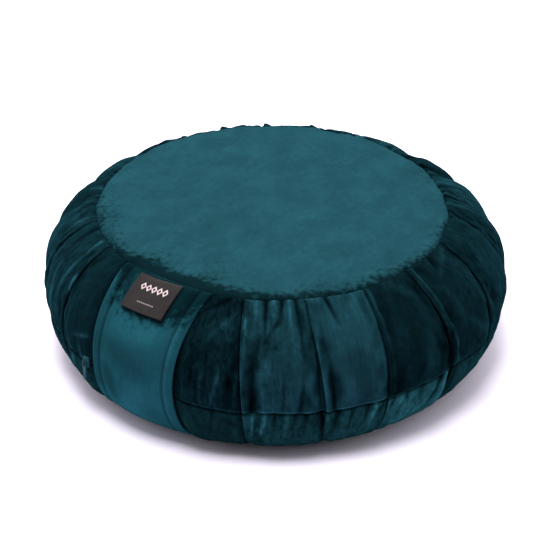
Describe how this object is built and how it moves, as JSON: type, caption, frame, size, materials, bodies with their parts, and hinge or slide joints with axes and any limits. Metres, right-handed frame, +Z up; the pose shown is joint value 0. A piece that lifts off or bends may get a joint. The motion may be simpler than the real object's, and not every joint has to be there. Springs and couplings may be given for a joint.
{
  "type": "zafu meditation cushion",
  "caption": "Round, low filled seat cushion in velvet, with a crowned top, a pleated side, a wide carry handle and a zip.",
  "frame": {"origin": "centre of the round base, on the surface that the cushion stands on", "axes": "+Z up; -Y towards the carry handle; +X to the right of somebody facing the handle"},
  "size_m": [0.3534, 0.3517, 0.1231],
  "materials": {
    "velvet": "dark teal velvet with a short pile, pale at glancing angles",
    "woven_tab": "dark brown woven satin tape",
    "zip_enamel": "teal enamel, semi-gloss"
  },
  "bodies": {
    "root": {"top_panel": "velvet", "side_upper": "velvet", "side_lower": "velvet", "base_panel": "velvet", "carry_handle": "velvet", "label_tab": "woven_tab", "zip_slider": "zip_enamel", "zip_pull": "zip_enamel"}
  },
  "joints": []
}
